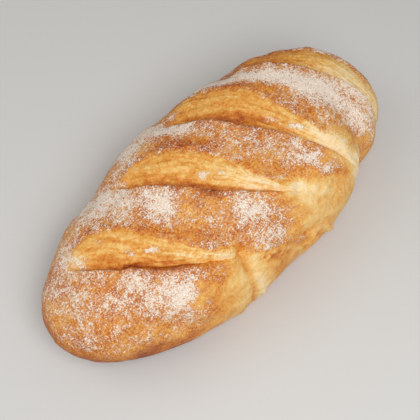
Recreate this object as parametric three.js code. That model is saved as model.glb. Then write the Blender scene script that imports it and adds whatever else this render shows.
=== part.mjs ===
// A bloomer: an oval hearth loaf baked straight on the oven floor, with four slanting cuts across its
// crown. The dough was one piece and so is the loaf, so it is one closed solid.
// Millimetres. X runs along the loaf, Z is up, and the origin is under the middle of the flat base.
import * as THREE from "three";
import { mergeVertices } from "three/addons/utils/BufferGeometryUtils.js";

// The loaf without its cuts.
const LENGTH = 278;
const WIDTH = 134;
const HEIGHT = 80; // base to crown
const HEIGHT_TAPER = 0.1; // the crown stands this share higher at the +X end, and lower at the other
const WIDEST_HEIGHT = 27; // the sides bulge out most at this height
const FOOT_SHARE = 0.84; // outline where the loaf meets the oven floor, as a share of the widest outline
const BLUNTNESS_LOW_END = 2.05; // outline exponent at the -X end: 2 is an ellipse, more is squarer
const BLUNTNESS_HIGH_END = 2.35;
const CROWN_FULLNESS = 2.5; // exponent of the dome above the widest line

// The strokes of the knife. Seen from above they cross the loaf on a slant, and they fan a little.
// A stroke's offset is its distance from mid-loaf, square to the stroke and positive towards +X.
// Travel runs along the stroke, towards +X and -Y.
const BOW_LENGTH = 50; // a stroke strays from straight by its bow at this travel from its middle

// The four cuts, from the -X end. Each opened into a crescent on its +X side.
//   offset  of the crease at the foot of the crescent
//   slant   degrees between the stroke and the loaf's length
//   middle, halfLength  travel at the middle of the cut, and from there to either end
//   bow     how far the stroke strays from straight at BOW_LENGTH from its middle
//   gape    width of the crescent where it opened most
//   depth   of the crease below the dome, where the crescent is widest
//   start, tail  exponents of the crescent's outline at its two ends: small is blunt, large is long
//   runOn   share of the furrow past the tail that also runs on past the start
const CUTS = [
  {
    offset: -62.5, slant: 42, middle: -40, halfLength: 54, bow: 6,
    gape: 20.5, depth: 6, start: 0.6, tail: 1.3, runOn: 0,
  },
  {
    offset: -16.5, slant: 48, middle: -6, halfLength: 60, bow: 5,
    gape: 26, depth: 7, start: 1.1, tail: 1.6, runOn: 0.25,
  },
  {
    offset: 31, slant: 57, middle: 25, halfLength: 70, bow: 0,
    gape: 34, depth: 8.5, start: 0.4, tail: 1.5, runOn: 0.75,
  },
  {
    offset: 91, slant: 60, middle: 42, halfLength: 56, bow: -9,
    gape: 22, depth: 4.5, start: 0.8, tail: 0.75, runOn: 1,
  },
];
const DEEPEST_CUT = Math.max(...CUTS.map((cut) => cut.depth));
const LIP_RISE = 2.5; // the lip that overlooks the deepest crease stands this far above the dome
const LIP_WALL = 2.4; // width of the steep step between lip and crease
const LIP_SPREAD = 13; // how far back from the lip the rise dies away
const CUT_FOOT = 0.5; // share of the widest height below which the cuts don't reach
const HOLLOW = 1.6; // exponent of the crescent's floor as it climbs from the crease to its far edge
const FURROW_DEPTH = 3; // shallow furrow that carries on down the side from a cut's end
const FURROW_WIDTH = 9;
const FURROW_LENGTH = 16;
const FURROW_START = 0.86; // share of a cut's half length at which the furrow starts to form
const FURROW_EASE = 8; // it forms over this length

// Places where the side is drawn in or swells, by station along X and side in Y.
const SIDE_SWELLS = [
  { x: -120, side: -1, rise: -1, spread: 28 },
  { x: -45, side: -1, rise: 1.5, spread: 24 },
  { x: -26, side: -1, rise: -1.3, spread: 9 },
  { x: 6, side: -1, rise: -1.5, spread: 14 },
  { x: 48, side: -1, rise: 1, spread: 20 },
  { x: 92, side: -1, rise: -7.5, spread: 11 },
  { x: -61, side: 1, rise: -5.5, spread: 22 },
  { x: -110, side: 1, rise: -3, spread: 26 },
  { x: 10, side: 1, rise: -1.8, spread: 13 },
  { x: 64, side: 1, rise: -1.6, spread: 13 },
];
const SWELL_START = 0.75; // share of the half width at which a swell has its whole rise

// Surface grid: rings are upright slices along the strokes.
const RINGS = 84;
const POINTS_PER_RING = 56;
const POINTS_ON_TOP = 42;
const POLE_CROWDING = 8; // rings crowd towards the ends so that these close roundly
const PROFILE_SAMPLES = 240; // fine samples of a slice, from which its points are spaced evenly
const SEARCH_STEPS = 40; // halvings when searching for an edge
const MERGE_DISTANCE = 1e-3; // points nearer than this are one point

const HALF_LENGTH = LENGTH / 2;
const HALF_WIDTH = WIDTH / 2;
const CROWN_RISE = HEIGHT - LIP_RISE - WIDEST_HEIGHT;
// The under-curve is a half ellipsoid, deep enough that the base plane cuts it at FOOT_SHARE.
const UNDER_DEPTH = WIDEST_HEIGHT / Math.sqrt(1 - FOOT_SHARE ** 2);

const { abs, sign, sin, cos, exp, sqrt, max, PI } = Math;
const clamp01 = (v) => Math.min(1, max(0, v));
const smooth = (v) => clamp01(v) ** 2 * (3 - 2 * clamp01(v));

// 0 at the loaf's middle, 1 on its widest outline, growing evenly outwards.
function outlineShare(x, y) {
  const n = x < 0 ? BLUNTNESS_LOW_END : BLUNTNESS_HIGH_END;
  return (abs(x / HALF_LENGTH) ** n + abs(y / HALF_WIDTH) ** n) ** (1 / n);
}

// Height of the plain dome, and of the curve that tucks in under its sides, over one point.
function domeHeight(x, y) {
  const share = clamp01(outlineShare(x, y));
  const rise = CROWN_RISE * (1 + (HEIGHT_TAPER * x) / HALF_LENGTH);
  return WIDEST_HEIGHT + rise * (1 - share ** CROWN_FULLNESS) ** (1 / CROWN_FULLNESS);
}
function underHeight(x, y) {
  const share = clamp01(outlineShare(x, y));
  return max(0, WIDEST_HEIGHT - UNDER_DEPTH * sqrt(1 - share ** 2));
}

// A value that the cuts hold, carried evenly between them to any other offset.
function betweenCuts(offset, field) {
  const next = CUTS.findIndex((cut) => cut.offset > offset);
  if (next === 0) return CUTS[0][field];
  if (next < 0) return CUTS[CUTS.length - 1][field];
  const [low, high] = [CUTS[next - 1], CUTS[next]];
  const share = (offset - low.offset) / (high.offset - low.offset);
  return low[field] + (high[field] - low[field]) * share;
}

// Where a stroke with this offset is after this travel, seen from above.
function strokePoint(offset, travel) {
  const slant = THREE.MathUtils.degToRad(betweenCuts(offset, "slant"));
  const fromMiddle = (travel - betweenCuts(offset, "middle")) / BOW_LENGTH;
  const line = offset + betweenCuts(offset, "bow") * fromMiddle ** 2;
  return [line * sin(slant) + travel * cos(slant), line * cos(slant) - travel * sin(slant)];
}

// The travel at which a stroke is deepest inside the loaf's outline.
function deepestTravel(offset) {
  let [low, high] = [-HALF_LENGTH, HALF_LENGTH];
  for (let i = 0; i < SEARCH_STEPS * 2; i += 1) {
    const [a, b] = [low + (high - low) / 3, high - (high - low) / 3];
    if (outlineShare(...strokePoint(offset, a)) < outlineShare(...strokePoint(offset, b))) high = b;
    else low = a;
  }
  return (low + high) / 2;
}

// Halves the span between a value that passes the test and one that doesn't, down to its edge.
function findEdge(passing, failing, test) {
  for (let i = 0; i < SEARCH_STEPS; i += 1) {
    const middle = (passing + failing) / 2;
    if (test(middle)) passing = middle;
    else failing = middle;
  }
  return passing;
}
const reachesLoaf = (offset) => outlineShare(...strokePoint(offset, deepestTravel(offset))) < 1;
const LAST_OFFSET = findEdge(0, LENGTH, reachesLoaf);
const FIRST_OFFSET = findEdge(0, -LENGTH, reachesLoaf);

// Offsets of the rings, evenly spread but crowded at the ends. Where a ring comes near a crease it is
// laid on the crease, and its neighbour on the lip.
function ringOffsets() {
  const offsets = [];
  for (let i = 0; i <= RINGS; i += 1) {
    const even = 1 - (2 * i) / RINGS;
    const crowded = (POLE_CROWDING * abs(even) - abs(even) ** POLE_CROWDING) / (POLE_CROWDING - 1);
    offsets.push(crowded * (even > 0 ? LAST_OFFSET : -FIRST_OFFSET) * sign(even));
  }
  for (const cut of CUTS) {
    const distances = offsets.map((offset) => abs(offset - cut.offset));
    const nearest = distances.indexOf(Math.min(...distances));
    offsets[nearest] = cut.offset;
    offsets[nearest + 1] = cut.offset - LIP_WALL;
  }
  return offsets;
}

// Points spaced evenly along a line of [travel, x, y, z] samples, the last one left off.
function spaceEvenly(samples, count) {
  const reached = [0];
  for (let i = 1; i < samples.length; i += 1) {
    const [, ax, ay, az] = samples[i - 1];
    const [, bx, by, bz] = samples[i];
    reached.push(reached[i - 1] + Math.hypot(bx - ax, by - ay, bz - az));
  }
  const spaced = [];
  let next = 1;
  for (let k = 0; k < count; k += 1) {
    const wanted = (reached[samples.length - 1] * k) / count;
    while (reached[next] < wanted) next += 1;
    const share = (wanted - reached[next - 1]) / (reached[next] - reached[next - 1]);
    spaced.push(samples[next].map((v, i) => samples[next - 1][i] + (v - samples[next - 1][i]) * share));
  }
  return spaced;
}

// One slice through the plain loaf: over the dome with the travel, then back along the underside.
function sliceRing(offset) {
  const deepest = deepestTravel(offset);
  const inside = (travel) => outlineShare(...strokePoint(offset, travel)) < 1;
  const start = findEdge(deepest, -LENGTH, inside);
  const end = findEdge(deepest, LENGTH, inside);
  const sample = (turn, height) => {
    const travel = (start + end) / 2 - ((end - start) / 2) * cos(turn);
    const [x, y] = strokePoint(offset, travel);
    return [travel, x, y, height(x, y)];
  };
  const over = [];
  const under = [];
  for (let i = 0; i <= PROFILE_SAMPLES; i += 1) {
    const turn = (PI * i) / PROFILE_SAMPLES;
    over.push(sample(turn, domeHeight));
    under.push(sample(PI - turn, underHeight));
  }
  const ring = spaceEvenly(over, POINTS_ON_TOP).concat(spaceEvenly(under, POINTS_PER_RING - POINTS_ON_TOP));
  ring.push(ring[0]);
  return ring;
}

// How far one cut moves the dome's surface outwards at a point.
function cutRise(cut, offset, travel) {
  const across = offset - cut.offset;
  const along = (travel - cut.middle) / cut.halfLength;
  const past = max(0, (abs(along) - FURROW_START) * cut.halfLength);
  const runOn = along > 0 ? 1 : cut.runOn;
  const furrowShare = runOn * smooth(past / FURROW_EASE) * exp(-((past / FURROW_LENGTH) ** 2));
  const furrow = -FURROW_DEPTH * exp(-((across / FURROW_WIDTH) ** 2)) * furrowShare;
  if (abs(along) >= 1) return furrow;
  const u = (along + 1) / 2;
  const widest = cut.start / (cut.start + cut.tail);
  const share = (u / widest) ** cut.start * ((1 - u) / (1 - widest)) ** cut.tail;
  const depth = cut.depth * sqrt(share);
  if (across >= 0) return furrow - depth * (1 - clamp01(across / (cut.gape * share))) ** HOLLOW;
  const lip = ((LIP_RISE * depth) / DEEPEST_CUT) * exp((across + LIP_WALL) / LIP_SPREAD);
  return furrow + (lip + depth) * smooth(-across / LIP_WALL) - depth;
}

function sideRise(x, y) {
  let rise = 0;
  for (const swell of SIDE_SWELLS) {
    const toSide = smooth((swell.side * y) / HALF_WIDTH / SWELL_START);
    rise += swell.rise * toSide * exp(-(((x - swell.x) / swell.spread) ** 2));
  }
  return rise;
}

// Moves a point of the plain loaf to the surface of the cut loaf, square to the dome.
function shapePoint(offset, [travel, x, y, z]) {
  const onTop = smooth(z / WIDEST_HEIGHT - CUT_FOOT);
  const offFloor = smooth(z / WIDEST_HEIGHT);
  const cuts = CUTS.reduce((sum, cut) => sum + cutRise(cut, offset, travel), 0);
  const rise = sideRise(x, y) * offFloor + cuts * onTop;
  const upwards = max(0, z - WIDEST_HEIGHT) / CROWN_RISE ** 2;
  const outwards = new THREE.Vector3(x / HALF_LENGTH ** 2, y / HALF_WIDTH ** 2, upwards).normalize();
  return new THREE.Vector3(x, y, z).addScaledVector(outwards, rise);
}

// The globe's rings become the slices, and its poles the two ends of the loaf.
function makeLoafGeometry() {
  const globe = new THREE.SphereGeometry(1, POINTS_PER_RING, RINGS);
  const position = globe.getAttribute("position");
  const offsets = ringOffsets();
  let index = 0;
  for (const [row, offset] of offsets.entries()) {
    const atPole = row === 0 || row === RINGS;
    const travel = deepestTravel(offset);
    const pole = [travel, ...strokePoint(offset, travel), WIDEST_HEIGHT];
    const ring = atPole ? Array(POINTS_PER_RING + 1).fill(pole) : sliceRing(offset);
    for (const sample of ring) {
      const point = shapePoint(offset, sample);
      position.setXYZ(index, point.x, point.y, max(0, point.z));
      index += 1;
    }
  }
  globe.deleteAttribute("normal");
  globe.deleteAttribute("uv");
  const geometry = mergeVertices(globe, MERGE_DISTANCE);
  geometry.computeBoundingBox();
  const { min: low, max: high } = geometry.boundingBox;
  geometry.translate(-(low.x + high.x) / 2, -(low.y + high.y) / 2, -low.z);
  geometry.computeVertexNormals();
  return geometry;
}

const crust = new THREE.MeshStandardMaterial({ color: 0xd08a3c, roughness: 0.75, metalness: 0 });

const bloomer = new THREE.Group();
const loaf = new THREE.Mesh(makeLoafGeometry(), crust);
loaf.name = "loaf";
bloomer.add(loaf);

export default bloomer;
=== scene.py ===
import math

import bpy
import numpy as np
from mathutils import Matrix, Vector, noise


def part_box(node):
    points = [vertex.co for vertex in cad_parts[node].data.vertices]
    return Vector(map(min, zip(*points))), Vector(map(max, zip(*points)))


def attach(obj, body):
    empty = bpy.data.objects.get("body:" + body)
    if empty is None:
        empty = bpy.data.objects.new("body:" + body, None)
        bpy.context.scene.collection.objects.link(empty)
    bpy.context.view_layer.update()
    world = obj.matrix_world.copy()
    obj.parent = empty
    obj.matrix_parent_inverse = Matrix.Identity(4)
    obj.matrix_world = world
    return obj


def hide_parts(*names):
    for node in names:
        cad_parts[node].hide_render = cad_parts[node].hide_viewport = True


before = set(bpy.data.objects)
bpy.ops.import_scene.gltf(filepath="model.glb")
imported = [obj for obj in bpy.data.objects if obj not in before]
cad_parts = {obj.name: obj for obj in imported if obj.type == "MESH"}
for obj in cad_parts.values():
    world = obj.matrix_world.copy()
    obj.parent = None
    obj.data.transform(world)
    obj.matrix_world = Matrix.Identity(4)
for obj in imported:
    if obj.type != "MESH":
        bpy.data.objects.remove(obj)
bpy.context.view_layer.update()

# ---------------------------------------------------------------- Camera
# It stands beyond the loaf's low end, over the near side, and looks down on the crown.
MM = 0.001
AZIMUTH, ELEVATION = math.radians(-45), math.radians(64)
CAMERA_DISTANCE = 550 * MM
AIM_HEIGHT, AIM_RIGHT, AIM_UP = 30 * MM, -3.8 * MM, -7.0 * MM
SENSOR, LENS = 36.0, 70.714
NEAREST_SEEN = 10 * MM
to_camera = Vector((
    math.sin(AZIMUTH) * math.cos(ELEVATION),
    -math.cos(AZIMUTH) * math.cos(ELEVATION),
    math.sin(ELEVATION),
))
camera_right = Vector((math.cos(AZIMUTH), math.sin(AZIMUTH), 0))
camera_up = to_camera.cross(camera_right)
aim = Vector((0, 0, AIM_HEIGHT)) + camera_right * AIM_RIGHT + camera_up * AIM_UP
bpy.ops.object.camera_add(location=aim + to_camera * CAMERA_DISTANCE)
camera = bpy.context.object
camera.rotation_mode = "QUATERNION"
camera.rotation_quaternion = (-to_camera).to_track_quat("-Z", "Y")
camera.data.sensor_width = SENSOR
camera.data.lens = LENS
camera.data.clip_start = NEAREST_SEEN
bpy.context.scene.camera = camera


# ---------------------------------------------------------------- Floor and light
# A plain pale table in a soft studio: one large lamp high over the near side, a weaker one over the
# low end's far side, and an even glow all round.
def linear(red, green, blue):
    """A colour as the eye grades it, 0 to 255, in the linear light that a shader takes."""
    parts = [v / 255 for v in (red, green, blue)]
    return [v / 12.92 if v <= 0.04045 else ((v + 0.055) / 1.055) ** 2.4 for v in parts] + [1.0]


class Socket:
    """A shader socket, with arithmetic on values written as Python expressions."""

    def __init__(self, finish, socket):
        self.finish, self.socket = finish, socket

    def math(self, operation, *others):
        inputs = dict(enumerate((self, *others)))
        return self.finish.add("ShaderNodeMath", {"operation": operation}, inputs)

    def __add__(self, other):
        return self.math("ADD", other)

    def __radd__(self, other):
        return self.math("ADD", other)

    def __sub__(self, other):
        return self.math("SUBTRACT", other)

    def __rsub__(self, other):
        return self.math("MULTIPLY_ADD", -1.0, other)

    def __mul__(self, other):
        return self.math("MULTIPLY", other)

    def __rmul__(self, other):
        return self.math("MULTIPLY", other)

    def ease(self, start, end):
        """0 at start, 1 at end, and smooth between them."""
        return self.finish.add("ShaderNodeMapRange", {"interpolation_type": "SMOOTHSTEP"}, {
            "Value": self, "From Min": start, "From Max": end, "To Min": 0.0, "To Max": 1.0,
        })

    def clip(self):
        return self.finish.add("ShaderNodeClamp", {}, {"Value": self})


class Finish:
    """A material and its nodes."""

    def __init__(self, name):
        self.material = bpy.data.materials.new(name)
        self.material.use_nodes = True
        self.tree = self.material.node_tree
        self.shader = self.tree.nodes["Principled BSDF"]

    def fill(self, socket, value):
        """Links a socket, or gives it a constant."""
        if isinstance(value, Socket):
            self.tree.links.new(value.socket, socket)
        else:
            socket.default_value = value

    def add(self, kind, settings, inputs, output=0):
        """One node: its settings first, then the values or links of its sockets."""
        node = self.tree.nodes.new(kind)
        for key, value in settings.items():
            if key == "stops":
                ramp = node.color_ramp
                while len(ramp.elements) < len(value):
                    ramp.elements.new(0.5)
                for element, (place, colour) in zip(ramp.elements, value):
                    element.position, element.color = place, colour
            else:
                setattr(node, key, value)
        for key, value in inputs.items():
            self.fill(node.inputs[key], value)
        return Socket(self, node.outputs[output])

    def set(self, **inputs):
        """Constants and links on the shader's own sockets."""
        for key, value in inputs.items():
            self.fill(self.shader.inputs[key.replace("_", " ")], value)

    def mix(self, share, first, second):
        """From the first colour to the second."""
        return self.add("ShaderNodeMix", {"data_type": "RGBA"}, {0: share, 6: first, 7: second}, output=2)

    def noise(self, where, size, detail=2.0, roughness=0.5):
        """Noise whose lumps are about this many metres across."""
        return self.add("ShaderNodeTexNoise", {}, {
            "Vector": where, "Scale": 1 / size, "Detail": detail, "Roughness": roughness,
        })


TABLE_SIZE = 6.0
TABLE_DARK, TABLE_LIGHT = linear(214, 214, 212), linear(220, 219, 216)
bpy.ops.mesh.primitive_plane_add(size=TABLE_SIZE)
floor = bpy.context.object
floor.name = "floor"
table = Finish("pale_table")
table_shade = table.noise(table.add("ShaderNodeTexCoord", {}, {}, output="Object"), size=400 * MM)
table.set(Base_Color=table.mix(table_shade, TABLE_DARK, TABLE_LIGHT), Roughness=0.7)
floor.data.materials.append(table.material)


def add_lamp(name, place, width, power):
    """A square softbox that faces the loaf."""
    bpy.ops.object.light_add(type="AREA", location=place)
    lamp = bpy.context.object
    lamp.name = name
    lamp.data.size = width
    lamp.data.energy = power
    lamp.rotation_mode = "QUATERNION"
    lamp.rotation_quaternion = (Vector(place) - Vector((0, 0, AIM_HEIGHT))).to_track_quat("Z", "Y")


add_lamp("main_softbox", place=(-0.18, -0.42, 0.75), width=0.55, power=4.5)
add_lamp("fill_softbox", place=(-0.42, 0.36, 0.62), width=0.6, power=1.25)
GLOW_COLOUR, GLOW_STRENGTH = (1.0, 0.99, 0.97, 1), 0.33
studio = bpy.data.worlds.new("studio")
studio.use_nodes = True
glow = studio.node_tree.nodes["Background"]
glow.inputs["Color"].default_value = GLOW_COLOUR
glow.inputs["Strength"].default_value = GLOW_STRENGTH
bpy.context.scene.world = studio
bpy.context.scene.view_settings.view_transform = "Standard"

# ---------------------------------------------------------------- Loaf
# One piece of wheat dough, proved, floured, cut four times on a slant and baked on the oven floor.
# It spread to a flat base, sprang open at the cuts, and set with a thin crackled crust.
# Lengths are in millimetres up to the line that writes the mesh.
low, high = (np.array(corner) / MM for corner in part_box("loaf"))
HALF_LENGTH, HALF_WIDTH = (high - low)[:2] / 2
HEIGHT = (high - low)[2]
WIDEST_HEIGHT = 27.0  # the sides bulge out most at this height
FOOT_SHARE = 0.84  # outline of the flat base, as a share of the widest outline
LOW_END_BLUNTNESS, HIGH_END_BLUNTNESS = 2.05, 2.35  # outline exponents: 2 is an ellipse, more is squarer
CROWN_FULLNESS = 2.5
HEIGHT_TAPER = 0.1  # the crown gains this share from mid-loaf to the +X end, and loses it to the -X end
LIP_RISE, LIP_WALL, LIP_SPREAD = 2.5, 2.4, 13.0  # a lip's height, the width of its face, and its run back
CROWN_RISE = HEIGHT - LIP_RISE - WIDEST_HEIGHT
UNDER_DEPTH = WIDEST_HEIGHT / math.sqrt(1 - FOOT_SHARE**2)

# The four strokes of the knife, from the -X end. A stroke's offset is its distance from mid-loaf, square
# to the stroke and positive towards +X. Travel runs along the stroke, towards +X and -Y.
#   offset, slant  of the crease; the slant is in degrees to the loaf's length
#   middle, half   travel at the middle of the cut, and from there to either end
#   bow            how far the stroke strays from straight at BOW_LENGTH from its middle
#   gape, depth    width and depth of the crescent that opened on the +X side of the crease
#   start, tail    exponents of the crescent's outline at its two ends: small is blunt, large is long
#   run_on         share of the furrow past the tail that also runs on past the start
#   torn           how strongly the dough inside was drawn into strands
CUTS = [
    dict(offset=-62.5, slant=42, middle=-40, half=54, bow=6, gape=20.5, depth=6, start=0.6, tail=1.3,
         run_on=0, torn=1),
    dict(offset=-16.5, slant=48, middle=-6, half=60, bow=5, gape=26, depth=7, start=1.1, tail=1.6,
         run_on=0.25, torn=1),
    dict(offset=31, slant=57, middle=25, half=70, bow=0, gape=34, depth=8.5, start=0.4, tail=1.5,
         run_on=0.75, torn=0.85),
    dict(offset=91, slant=60, middle=42, half=56, bow=-9, gape=22, depth=4.5, start=0.8, tail=0.75,
         run_on=1, torn=0.3),
]
BOW_LENGTH = 50.0
CUT_OFFSETS = [cut["offset"] for cut in CUTS]
DEEPEST_CUT = max(cut["depth"] for cut in CUTS)


def smooth(value):
    value = np.clip(value, 0, 1)
    return value * value * (3 - 2 * value)


def ease(value, start, end):
    """0 at start, 1 at end, and smooth between them."""
    return smooth((value - start) / (end - start))


def bell(value, width):
    """1 at nought, fading within about this width on both sides."""
    return np.exp(-((value / width) ** 2))


def outline_share(x, y):
    """0 at the loaf's middle and 1 on its widest outline."""
    n = np.where(x < 0, LOW_END_BLUNTNESS, HIGH_END_BLUNTNESS)
    return (np.abs(x / HALF_LENGTH) ** n + np.abs(y / HALF_WIDTH) ** n) ** (1 / n)


def dome_height(x, y):
    share = np.clip(outline_share(x, y), 0, 1)
    crown = CROWN_RISE * (1 + HEIGHT_TAPER * x / HALF_LENGTH)
    return WIDEST_HEIGHT + crown * (1 - share**CROWN_FULLNESS) ** (1 / CROWN_FULLNESS)


def under_height(x, y):
    share = np.clip(outline_share(x, y), 0, 1)
    return np.maximum(0, WIDEST_HEIGHT - UNDER_DEPTH * np.sqrt(1 - share**2))


def between_cuts(offset, field):
    """A value that the cuts hold, carried evenly between them to any other offset."""
    return np.interp(offset, CUT_OFFSETS, [cut[field] for cut in CUTS])


def stroke_point(offset, travel):
    """Where a stroke is after this travel, seen from above."""
    slant = np.radians(between_cuts(offset, "slant"))
    from_middle = (travel - between_cuts(offset, "middle")) / BOW_LENGTH
    line = offset + between_cuts(offset, "bow") * from_middle**2
    return line * np.sin(slant) + travel * np.cos(slant), line * np.cos(slant) - travel * np.sin(slant)


SEARCH_SPAN, SEARCH_STEPS = 280.0, 60


def deepest_travel(offset):
    """The travel at which a stroke is deepest inside the loaf's outline."""
    start, end = np.full_like(offset, -SEARCH_SPAN / 2), np.full_like(offset, SEARCH_SPAN / 2)
    for _ in range(SEARCH_STEPS):
        a, b = start + (end - start) / 3, end - (end - start) / 3
        nearer = outline_share(*stroke_point(offset, a)) < outline_share(*stroke_point(offset, b))
        start, end = np.where(nearer, start, a), np.where(nearer, b, end)
    return (start + end) / 2


def find_edge(passing, failing, test):
    """Halves the span between values that pass the test and values that don't, down to the edge."""
    for _ in range(SEARCH_STEPS):
        middle = (passing + failing) / 2
        passes = test(middle)
        passing, failing = np.where(passes, middle, passing), np.where(passes, failing, middle)
    return passing


# The mesh is a globe whose rings are laid as upright slices along the strokes. Rings crowd towards the
# loaf's two ends, and every crease and every lip has a ring of its own.
RINGS, COLUMNS, COLUMNS_ON_TOP = 320, 304, 236
POLE_CROWDING = 8
PROFILE_SAMPLES = 721
last_offset, first_offset = find_edge(
    np.zeros(2), np.array([SEARCH_SPAN, -SEARCH_SPAN]),
    lambda offset: outline_share(*stroke_point(offset, deepest_travel(offset))) < 1,
)
even = 1 - 2 * np.arange(RINGS + 1) / RINGS
crowded = (POLE_CROWDING * np.abs(even) - np.abs(even) ** POLE_CROWDING) / (POLE_CROWDING - 1)
offsets = crowded * np.where(even > 0, last_offset, -first_offset) * np.sign(even)
for crease_offset in CUT_OFFSETS:
    for wanted in (crease_offset, crease_offset - LIP_WALL):
        offsets[np.argmin(np.abs(offsets - wanted))] = wanted

inner = offsets[1:-1]
deepest = deepest_travel(inner)


def inside(travel):
    return outline_share(*stroke_point(inner, travel)) < 1


slice_start = find_edge(deepest, deepest - SEARCH_SPAN, inside)
slice_end = find_edge(deepest, deepest + SEARCH_SPAN, inside)


def slices(turn, height, count):
    """Points spaced evenly along every slice, on one side of the widest line."""
    reach = ((slice_end - slice_start) / 2)[:, None]
    travel = ((slice_start + slice_end) / 2)[:, None] - reach * np.cos(turn)
    x, y = stroke_point(inner[:, None], travel)
    samples = np.stack([travel, x, y, height(x, y)], -1)
    steps = np.linalg.norm(np.diff(samples[..., 1:], axis=1), axis=-1)
    reached = np.concatenate([np.zeros((len(inner), 1)), np.cumsum(steps, 1)], 1)
    spaced = np.empty((len(inner), count, samples.shape[-1]))
    for ring, along in enumerate(reached):
        wanted = along[-1] * np.arange(count) / count
        for k, column in enumerate(samples[ring].T):
            spaced[ring, :, k] = np.interp(wanted, along, column)
    return spaced


turns = np.linspace(0, math.pi, PROFILE_SAMPLES)
over = slices(turns, dome_height, COLUMNS_ON_TOP)
under = slices(turns[::-1], under_height, COLUMNS - COLUMNS_ON_TOP)
rings = np.concatenate([over, under], 1)

bpy.ops.object.select_all(action="DESELECT")
bpy.ops.mesh.primitive_uv_sphere_add(segments=COLUMNS, ring_count=RINGS, radius=1)
loaf = bpy.context.object
loaf.name = "loaf_crust"
globe = np.empty(len(loaf.data.vertices) * 3)
loaf.data.vertices.foreach_get("co", globe)
globe = globe.reshape(-1, 3)
ring_of = np.rint(np.arccos(np.clip(globe[:, 2], -1, 1)) / math.pi * RINGS).astype(int)
column_of = np.rint(np.arctan2(globe[:, 1], globe[:, 0]) / (2 * math.pi) * COLUMNS).astype(int) % COLUMNS
poles = (ring_of == 0) | (ring_of == RINGS)
offset = offsets[ring_of]
travel, x, y, z = rings[np.clip(ring_of - 1, 0, RINGS - 2), column_of].T.copy()
travel[poles] = deepest_travel(offset[poles])
x[poles], y[poles] = stroke_point(offset[poles], travel[poles])
z[poles] = WIDEST_HEIGHT

# The plain loaf, which way is out at each of its points, and how far a point is from the floor.
plain = np.stack([x, y, z], -1)
upwards = np.maximum(0, z - WIDEST_HEIGHT) / CROWN_RISE**2
outwards = np.stack([x / HALF_LENGTH**2, y / HALF_WIDTH**2, upwards], -1)
outwards /= np.linalg.norm(outwards, axis=1)[:, None]
TOUCH = 0.01  # a point this near the floor or a crease counts as on it
on_base = z < TOUCH
on_top = ease(z, 0.5 * WIDEST_HEIGHT, 1.5 * WIDEST_HEIGHT)
off_floor = ease(z, 0, WIDEST_HEIGHT)


def lumps(points, size, octaves, seed, gain=0.5):
    """Soft random relief with lumps of about this size, mostly between -1 and 1."""
    places = (points / size + seed).tolist()
    exponent = -math.log2(gain)
    return np.array([noise.fractal(place, exponent, 2.0, octaves) for place in places])


# The cuts. Each is a lip, a crease and a crescent of opened dough that climbs to a far edge. The dough
# inside is drawn into strands that run along the cut and close up at its tail.
FURROW_DEPTH, FURROW_WIDTH, FURROW_LENGTH = 3.0, 9.0, 16.0
FURROW_START, FURROW_EASE = 0.86, 8.0  # share of a cut's half at which the furrow starts, and its ease
TAIL_LOW, TAIL_HIGH = 38.0, 60.0  # a cut's tail fades out down the near wall between these heights
START_EASE = 0.2  # a cut's edges form over this share of its length
CRESCENT_HOLLOW, CREASE_WIDTH, NO_GAPE = 1.6, 1.6, 1e-6
FAR_EDGE_RISE, FAR_EDGE_RUN, FAR_EDGE_WIDTH = 0.8, 7.0, 2.2
STRAND_LENGTH, STRANDS_ACROSS, STRAND_RISE = 42.0, 4.5, 1.2
FAN_STEP, STRAND_STEP = 3, 5.0  # these set one cut's fan and strands apart from the next one's
LEAN_SHARE, LEAN_RUN = 0.18, 5.0  # the lips lean over their creases by this share of the depth
rise, opened, crease, lip_edge, lip_face, far_edge, fan, strand, lean = np.zeros((9, len(x)))
ragged = lumps(plain, size=5, octaves=3, seed=2.2)
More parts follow.
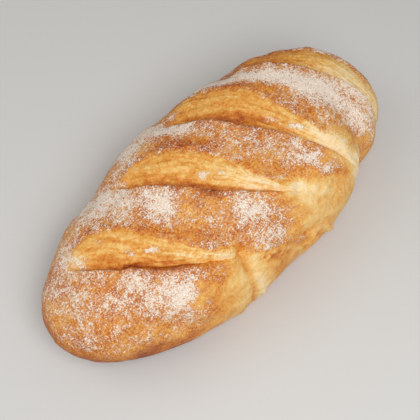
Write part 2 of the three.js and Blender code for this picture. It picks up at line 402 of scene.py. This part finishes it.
for number, cut in enumerate(CUTS):
    across = offset - cut["offset"]
    along = (travel - cut["middle"]) / cut["half"]
    past = np.maximum(0, (np.abs(along) - FURROW_START) * cut["half"])
    furrow_share = np.where(along > 0, 1, cut["run_on"]) * ease(past, 0, FURROW_EASE)
    furrow = -FURROW_DEPTH * furrow_share * bell(across, FURROW_WIDTH) * bell(past, FURROW_LENGTH)

    u = np.clip((along + 1) / 2, 0, 1)
    widest = cut["start"] / (cut["start"] + cut["tail"])
    share = (u / widest) ** cut["start"] * ((1 - u) / (1 - widest)) ** cut["tail"]
    fullness = np.sqrt(share)
    fade = np.where(along > 0, ease(z, TAIL_LOW, TAIL_HIGH), ease(u, -0.03, 0.12))
    depth = cut["depth"] * fullness * fade
    reach = np.clip(across / np.maximum(cut["gape"] * share, NO_GAPE), 0, 1)
    hollow = -depth * (1 - reach) ** CRESCENT_HOLLOW
    lip = LIP_RISE * cut["depth"] / DEEPEST_CUT * fullness * fade * ease(u, 0, START_EASE)
    lip *= np.exp((across + LIP_WALL) / LIP_SPREAD)
    step = (lip + depth) * smooth(-across / LIP_WALL) - depth
    rise += on_top * (furrow + np.where(share > 0, np.where(across >= 0, hollow, step), 0))

    in_crescent = (across >= -TOUCH) & (share > 0) & (reach < 1)
    edge = ease(1 - reach + 0.1 * ragged, 0, 0.14) * ease(share, 0, 0.2) * ease(u + 0.072 * ragged, 0, 0.12)
    torn = np.where(in_crescent, edge, 0) * on_top
    opened = np.maximum(opened, torn)
    fan = np.where(in_crescent, reach + FAN_STEP * number, fan)
    strands = np.zeros(len(x))
    lines = [travel / STRAND_LENGTH, reach * STRANDS_ACROSS + 0.2 * ragged, strands + STRAND_STEP * number]
    lines = np.stack(lines, -1)
    strands[in_crescent] = 1 - 2.8 * np.abs(lumps(lines[in_crescent], size=1, octaves=4, seed=2.9, gain=0.6))
    strands *= cut["torn"] * (0.35 + 0.65 * smooth(0.75 + 0.7 * along - 0.5 * reach))
    strand = np.maximum(strand, torn * np.clip(strands, 0, 1))
    rise += torn * strands * STRAND_RISE * fullness * ease(reach, 0, 1 / 6)

    behind_lip = np.minimum(0, across + LIP_WALL)
    on_lip = (across < -0.5) * fullness * ease(u, 0, 0.3) * on_top
    on_face = ease(across, -LIP_WALL, 0.8 - LIP_WALL) * (across < 0)
    past_far = across - cut["gape"] * share
    at_far_edge = ease(past_far, -0.96, 0.64) * np.exp(-np.maximum(0, past_far) / FAR_EDGE_RUN)
    rise += FAR_EDGE_RISE * at_far_edge * ease(share, 0, 0.25) * ease(u, 0, START_EASE) * on_top
    crease = np.maximum(crease, bell(across, CREASE_WIDTH) * fullness * ease(u, 0, 0.3) * fade * on_top)
    lip_edge = np.maximum(lip_edge, np.exp(behind_lip / 3) * on_lip)
    lip_face = np.maximum(lip_face, on_face * ease(share, 0, 0.25) * on_top)
    far_line = bell(past_far - 1.5, FAR_EDGE_WIDTH) * ease(share, 0, 1 / 3) * smooth(1 - u)
    far_edge = np.maximum(far_edge, far_line * on_top)
    lean += LEAN_SHARE * cut["depth"] * ease(u, 1, 0.7) * np.exp(behind_lip / LEAN_RUN) * on_lip

# Places where a side is drawn in or swells: station along X, side in Y, how far out, and its half length.
SWELLS = [
    (-120, -1, -1, 28), (-45, -1, 1.5, 24), (-26, -1, -1.3, 9), (6, -1, -1.5, 14), (48, -1, 1, 20),
    (92, -1, -7.5, 11), (-61, 1, -5.5, 22), (-110, 1, -3, 26), (10, 1, -1.8, 13), (64, 1, -1.6, 13),
]
SWELL_START = 0.75  # share of the half width at which a swell has its whole rise
for station, side, amount, swell_length in SWELLS:
    to_side = smooth(side * y / HALF_WIDTH / SWELL_START)
    rise += amount * to_side * bell(x - station, swell_length) * off_floor
BROAD_RELIEF, FINE_RELIEF = 1.6, 0.5
rise += BROAD_RELIEF * lumps(plain, size=48, octaves=2, seed=7.3) * off_floor
rise += FINE_RELIEF * lumps(plain, size=11, octaves=3, seed=1.7) * off_floor

# The floured skin ends on the near side, where the wall below it stretched, wrinkled and stayed pale.
# Its edge is given as a travel for each offset.
EDGE_OFFSETS = [-112, -80, -70, -64, -60, -40, -20, -5, 10, 50, 62, 75, 100]
EDGE_TRAVELS = [-15, -2, 2, 10, 54, 55, 46, 60, 74, 84, 94, 102, 104]
EDGE_RAGGEDNESS, WRINKLE_RELIEF = 16.0, 0.7
past_edge = travel - np.interp(offset, EDGE_OFFSETS, EDGE_TRAVELS)
past_edge += EDGE_RAGGEDNESS * lumps(plain, size=13, octaves=4, seed=9.1)
skin = ease(past_edge, 13, -13)
dusted = ease(past_edge, 9.6, -14.4)
stretched = 1 - ease(past_edge, 7, -7)
wrinkles = 1 - 2.4 * np.abs(lumps(plain * [1.0, 1.0, 0.55], size=7, octaves=3, seed=3.9))
rise += WRINKLE_RELIEF * wrinkles * stretched * on_top * off_floor

# The near wall tore and folded as it stretched. Each mark is a line through a few points, in x, y and z.
# Its colour change is painted shade where it darkens the furrow and the hollow under the fold, and painted
# light where it lightens the bank and the fold's ridge.
WALL_MARKS = [
    # The furrow that runs down from the first cut's tail, and its bank.
    dict(width=2.6, rise=-1.9, bake=0.30,
         points=[(-27, -48, 65), (-29, -57, 56), (-31, -62, 42), (-31, -65, 27), (-32, -64, 16)]),
    dict(width=3.2, rise=1.3, bake=-0.10,
         points=[(-21, -52, 60), (-23, -61, 48), (-24, -66, 33), (-25, -66, 20)]),
    # The fold that arches below the second cut's tail, and the hollow under it.
    dict(width=2.6, rise=2.6, bake=-0.12,
         points=[(19, -66, 36), (25, -65, 42), (31, -65, 40), (36, -66, 33), (40, -65, 27)]),
    dict(width=4.0, rise=-3.0, bake=0.26, points=[(21, -67, 29), (29, -68, 31), (34, -68, 25)]),
]
# The ragged lump at the furrow's foot.
TORN_LUMP = dict(width=6.0, points=[(-40, -60, 20), (-33, -62, 22), (-28, -64, 24)])
TORN_LUMP_RISE, TORN_LUMP_VARIES = 1.6, 3.0
# Places where small flecks tore off.
FLECKS = [
    dict(width=2.4, points=[(-16, -59, 56), (-10, -61, 53), (-4, -62, 50)]),
    dict(width=2.2, points=[(1, -62, 46), (9, -63, 42)]),
    dict(width=3.0, points=[(-29, -47, 66), (-25, -49, 65)]),
    dict(width=2.0, points=[(12, -60, 50), (18, -62, 47)]),
]
FLECK_RISE, FLECK_BAKE = -0.9, 0.45
WARP = 2.2
warped = plain + WARP * np.stack([lumps(plain, size=9, octaves=2, seed=s) for s in (1.1, 4.7, 7.9)], -1)


def near_line(mark):
    """1 on a mark's line, fading within about its width."""
    nearest = np.full(len(x), np.inf)
    for first, second in zip(mark["points"], mark["points"][1:]):
        run = np.subtract(second, first)
        share = np.clip((warped - first) @ run / (run @ run), 0, 1)
        nearest = np.minimum(nearest, np.linalg.norm(warped - first - share[:, None] * run, axis=1))
    return bell(nearest, mark["width"])


flecks = sum(near_line(mark) for mark in FLECKS)
flecks *= smooth(2.6 * lumps(plain, size=3.5, octaves=2, seed=6.9) + 0.6)
marks_rise, marks_bake_and_shade = FLECK_RISE * flecks, FLECK_BAKE * flecks
# The marks' darker and paler colour is painted shade and painted light; the flecks' browning is their own.
for mark in WALL_MARKS:
    on_mark = near_line(mark)
    marks_rise += mark["rise"] * on_mark
    marks_bake_and_shade += mark["bake"] * on_mark
lump_rise = TORN_LUMP_RISE + TORN_LUMP_VARIES * lumps(plain, size=4, octaves=3, seed=5.3)
rise += off_floor * (marks_rise + lump_rise * near_line(TORN_LUMP))

# Everything above moves a point outwards. The lips' lean and the wander of the creases go across the
# strokes, so that no line is ruler straight.
wander = 1.5 * lumps(plain, size=17, octaves=2, seed=8.2) + 0.45 * lumps(plain, size=6, octaves=2, seed=3.3)
slant = np.radians(between_cuts(offset, "slant"))
shaped = plain + outwards * rise[:, None]
shaped[:, 0] += (lean + wander * on_top) * np.sin(slant)
shaped[:, 1] += (lean + wander * on_top) * np.cos(slant)
shaped[:, 2] = np.where(on_base, 0, np.maximum(0, shaped[:, 2]))
loaf.data.vertices.foreach_set("co", (shaped * MM).ravel())


def spread(patches):
    """The sum of soft patches: travel, offset, reach along a stroke, reach across it, and amount."""
    total = np.zeros(len(x))
    for middle, line, along, across, amount in patches:
        total += amount * bell(travel - middle, along) * bell(offset - line, across)
    return total


# Flour was sifted over the proved dough before it was cut. It lies thick in some places and thin in
# others, it fell off the walls, and only a little was blown into the cuts.
FLOUR_PATCHES = [
    # Below the first cut.
    (-22, -78, 15, 9, 0.42), (-52, -70, 8, 4, 0.30), (-100, -78, 16, 12, 0.08), (-60, -82, 25, 8, 0.10),
    (-20, -100, 30, 8, -0.12), (-3, -80, 7, 10, -0.3), (-92, -58, 11, 8, 0.22),
    # Between the first cut and the second.
    (-78, -27, 24, 11, 0.36), (-32, -28, 8, 8, 0.40), (-55, -25, 14, 8, 0.15), (22, -33, 15, 9, 0.40),
    (35, -52, 14, 9, 0.16), (-40, -45, 25, 4, -0.22), (-4, -28, 12, 10, -0.12),
    (50, -14, 13, 6, -0.8), (8, -60, 9, 4, -0.8),
    # Between the second and the third.
    (-40, 24, 24, 6, 0.42), (-60, 8, 10, 14, 0.35), (-18, 14, 12, 4, -0.2), (45, 24, 5, 3, 0.2),
    (62, 13, 15, 13, 0.24), (30, 14, 26, 8, 0.10), (20, 1, 35, 4, -0.2), (78, 34, 14, 6, -0.5),
    # Between the third and the fourth, and beyond it.
    (15, 76, 45, 7, 0.46), (55, 72, 24, 12, 0.30), (88, 72, 14, 16, 0.20), (-30, 75, 15, 12, 0.3),
    (10, 64, 30, 4, -0.2), (30, 119, 60, 8, 0.28), (74, 86, 24, 5, 0.2),
]
CUT_FLOUR_PATCHES = [
    (-46, -54, 12, 3.0, 1.05), (-72, -50, 6, 3, 0.5), (-86, -60, 8, 4, 0.8), (-3, -6, 11, 3.6, 1.05),
    (44, 40, 10, 2.2, 1.0), (27, 41, 5, 2, 0.9), (70, 100, 30, 9, 0.4), (20, 97, 40, 4, 0.35),
]
FLOUR_MEAN, FLOUR_VARIES = 0.49, 0.16
# The low end's rim: it bears less flour, and below it is darker, partly browned crust and partly painted
# shade.
low_end = smooth(-x / 60 - 0.8) * ease(z, 44, 24)
flour = FLOUR_MEAN + FLOUR_VARIES * lumps(plain, size=9, octaves=3, seed=4.4) + spread(FLOUR_PATCHES)
flour *= dusted * (1 - opened) * (1 - 0.8 * lip_face) * ease(z, 14, 44) * (1 - 0.75 * low_end)
flour += opened * spread(CUT_FLOUR_PATCHES) * np.clip(0.75 + 2.8 * ragged, 0, 1)
# A light dusting from the peel stays on the base.
flour += ease(z, 4, 0) * (0.36 + 0.5 * lumps(plain, size=14, octaves=3, seed=8.8))
flour = np.clip(flour, 0, 1)

# How far the crust is baked, from 0, pale dough, to 1, dark brown, with painted shade and light added in.
# Skin that stood up in the oven's heat is browner than the stretched wall, the cuts pale towards their
# tails, and the foot is darkest. The creases, the crescents next to them and the low end's rim are darker
# partly by browning and partly by painted shade; the wall's furrow and hollow are painted shade, its bank
# and fold ridge painted light.
BAKE_PATCHES = [
    # Below the first cut.
    (28, -68, 9, 8, -0.08), (22, -75, 12, 8, -0.12), (-90, -59, 10, 6, -0.22), (45, -69, 14, 6, 0.12),
    (33, -69, 12, 5, 0.12),
    # The first cut, and between it and the second.
    (-50, -60, 20, 2.5, 0.2), (13, -59, 3, 3, 0.3), (8, -60, 9, 4, -0.30), (-40, -46, 25, 3, 0.05),
    (5, -21, 8, 3, 0.25), (55, -30, 12, 12, -0.12),
    # The second cut, and between it and the third.
    (-20, -13, 24, 3, 0.22), (50, -14, 13, 6, -0.34), (36, -8, 18, 5, -0.18), (60, -8, 14, 14, -0.06),
    (-18, 12, 15, 3, 0.2), (80, 15, 6, 20, 0.1), (84, 29, 14, 9, -0.28),
    # The third cut, and between it and the fourth.
    (5, 38, 34, 6, 0.30), (74, 38, 18, 8, -0.3), (62, 42, 14, 5, -0.12), (10, 64, 30, 4, 0.05),
    (92, 80, 14, 14, -0.1),
    # The fourth cut.
    (60, 98, 25, 9, -0.25), (5, 106, 34, 10, 0.14), (12, 93, 26, 3, 0.3), (76, 88, 22, 6, -0.18),
]
SKIN_BAKE, WALL_BAKE, CUT_BAKE = 0.49, 0.31, 0.39
SKIN_FOOT_BAKE, WALL_FOOT_BAKE, LOW_END_BAKE_AND_SHADE, RUST_BAKE, UNDER_FLOUR_BAKE = 0.30, 0.38, 0.28, 0.08, 0.14
# The creases are darkened partly by a browner bake and partly by painted shade.
LIP_BAKE, CREASE_SHADE_AND_BAKE, FAR_EDGE_BAKE = 0.24, 0.16, 0.28
TAIL_PALENESS, STRAND_PALENESS = 0.20, 0.31
floured_skin = dusted * (1 - opened)
skin_bake = SKIN_BAKE + SKIN_FOOT_BAKE * ease(z, 28, 6)
skin_bake += 0.14 * lumps(plain, size=18, octaves=3, seed=5.6)
wall_bake_and_shade = WALL_BAKE + WALL_FOOT_BAKE * ease(z, 22, 2) - 0.06 * wrinkles
# The wall's colour here carries the marks' painted shade and painted light.
wall_bake_and_shade += 0.08 * lumps(plain, size=12, octaves=3, seed=6.1) + marks_bake_and_shade
cut_bake_and_shade = np.zeros(len(x))
for number, cut in enumerate(CUTS):
    along = np.clip((travel - cut["middle"]) / cut["half"], -1, 1)
    reach = fan - FAN_STEP * number
    in_this = (opened > 0) & (reach >= 0) & (reach <= 1)
    # The last term darkens each crescent towards its crease, partly a browner bake and partly painted shade.
    toned = CUT_BAKE - TAIL_PALENESS * smooth(along * 0.9) + (0.14 - 0.12 * along) * (1 - reach) ** 4
    cut_bake_and_shade = np.where(in_this, toned, cut_bake_and_shade)
rust = smooth(2.4 * lumps(plain, size=8, octaves=3, seed=1.4) + 0.1)
cut_bake_and_shade += RUST_BAKE * rust * ease(travel, 28, -32)
bake = (skin_bake * skin + wall_bake_and_shade * (1 - skin)) * (1 - opened) + cut_bake_and_shade * opened
bake += LIP_BAKE * lip_edge * (0.5 + 1.2 * lumps(plain, size=7, octaves=2, seed=6.6))
# Along each crease the colour darkens: a browner bake and painted shade together.
bake += CREASE_SHADE_AND_BAKE * crease + FAR_EDGE_BAKE * far_edge * (0.5 + ragged) - STRAND_PALENESS * strand
# The low end's rim is darker, partly browned crust and partly painted shade.
bake += LOW_END_BAKE_AND_SHADE * low_end + UNDER_FLOUR_BAKE * floured_skin * flour + spread(BAKE_PATCHES)
bake = np.clip(bake, 0, 1)

painted = {
    "opened": opened, "fan": fan, "travel": travel,
    "floured_skin": floured_skin, "flour": flour, "bake": bake,
}
for name, values in painted.items():
    loaf.data.attributes.new(name, "FLOAT", "POINT").data.foreach_set("value", values.astype(np.float32))
bpy.ops.object.shade_smooth()
loaf.data.update()

# The finish of the crust: a crackled, mottled bake under flour that lies in fine grains. The bake
# carries the mesh's painted shade and painted light.
CRUST_COLOURS = [
    (0.0, linear(253, 228, 182)),
    (0.2, linear(244, 199, 120)),
    (0.4, linear(232, 163, 72)),
    (0.6, linear(210, 124, 42)),
    (0.8, linear(174, 86, 26)),
    (1.0, linear(126, 54, 16)),
]
FLOUR_SHADE, FLOUR_SPARKLE = linear(234, 208, 184), linear(255, 248, 236)
FLOUR_COVER, FLOUR_THRESHOLD = 0.60, 0.87
# How strongly each pattern changes the bake: everywhere, and how much more on the skin and in the cuts.
MOTTLE, MOTTLE_ON_SKIN, MOTTLE_IN_CUT = 0.18, 0.08, 0.12
FRECKLES, FRECKLES_ON_SKIN = 0.24, 0.34
STREAKS_IN_CUT, CRINKLE_IN_CUT = 0.30, 0.26
STREAK_LENGTH, STREAKS_ACROSS = 16.0, 12.0
GRAIN_SHARE, CLUMP_SHARE = 0.70, 0.30
SPECK_COVER, VEIL_COVER, WALL_VEIL_COVER = 0.94, 0.16, 0.34
BARE_ROUGHNESS, ROUGHER_WITH_FLOUR = 0.55, 0.35
BLISTER_RELIEF, FLOUR_RELIEF, STREAK_RELIEF = 0.6, 0.5, 0.8
BUMP_STRENGTH, BUMP_HEIGHT = 0.5, 0.6 * MM
NOISE_STRETCH = 1.9
crust = Finish("floured_crust")
here = crust.add("ShaderNodeTexCoord", {}, {}, output="Object")


def painted_value(name):
    return crust.add("ShaderNodeAttribute", {"attribute_name": name}, {}, output="Fac")


def even_noise(where, size, detail=2.0, roughness=0.5):
    """Noise stretched to fill 0 to 1."""
    return (crust.noise(where, size, detail, roughness) - 0.5) * NOISE_STRETCH + 0.5


in_cut = painted_value("opened")
on_skin = painted_value("floured_skin")
flour_here = painted_value("flour")
streak_place = crust.add("ShaderNodeCombineXYZ", {}, {
    "X": painted_value("travel") * (1 / STREAK_LENGTH),
    "Y": painted_value("fan") * STREAKS_ACROSS,
    "Z": in_cut * 0.3,
})
streaks = even_noise(streak_place, size=1.0, detail=4.0, roughness=0.6)
mottle = even_noise(here, size=5.0 * MM, detail=4.0, roughness=0.65)
freckle = even_noise(here, size=1.3 * MM, detail=2.0, roughness=0.7)
crinkle = even_noise(here, size=2.4 * MM, detail=3.0, roughness=0.7)
# The painted bake value holds the crust's browning together with painted shade and painted light.
baked_and_shaded = painted_value("bake")
baked_and_shaded = baked_and_shaded + (mottle - 0.5) * (on_skin * MOTTLE_ON_SKIN + in_cut * MOTTLE_IN_CUT + MOTTLE)
baked_and_shaded = baked_and_shaded + (freckle - 0.5) * (on_skin * FRECKLES_ON_SKIN + FRECKLES)
baked_and_shaded = baked_and_shaded + in_cut * ((streaks - 0.5) * STREAKS_IN_CUT + (crinkle - 0.5) * CRINKLE_IN_CUT)
bake_and_shade_colour = crust.add("ShaderNodeValToRGB", {"stops": CRUST_COLOURS}, {"Fac": baked_and_shaded.clip()})

grain = even_noise(here, size=1.1 * MM, detail=3.0, roughness=0.85)
clump = even_noise(here, size=3.2 * MM, detail=3.0, roughness=0.65)
sparkle = even_noise(here, size=0.7 * MM, detail=1.0, roughness=0.5)
dust = grain * GRAIN_SHARE + clump * CLUMP_SHARE
specks = (dust + flour_here * FLOUR_COVER - FLOUR_THRESHOLD).ease(-0.05, 0.07)
bare_wall = (1 - on_skin - in_cut).clip()
veil = clump * flour_here * flour_here * VEIL_COVER + grain.ease(0.45, 1.0) * bare_wall * WALL_VEIL_COVER
floured = 1 - (1 - specks * SPECK_COVER) * (1 - veil)
flour_colour = crust.mix(sparkle.ease(0.25, 0.75), FLOUR_SHADE, FLOUR_SPARKLE)
crust.set(
    Base_Color=crust.mix(floured, bake_and_shade_colour, flour_colour),
    Roughness=floured * ROUGHER_WITH_FLOUR + BARE_ROUGHNESS,
    Specular_IOR_Level=0.3,
)
blisters = even_noise(here, size=2.2 * MM, detail=4.0, roughness=0.6)
relief = blisters * BLISTER_RELIEF + floured * FLOUR_RELIEF + in_cut * streaks * STREAK_RELIEF
crust.set(Normal=crust.add("ShaderNodeBump", {}, {
    "Strength": BUMP_STRENGTH, "Distance": BUMP_HEIGHT, "Height": relief,
}))
loaf.data.materials.append(crust.material)
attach(loaf, "root")
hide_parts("loaf")
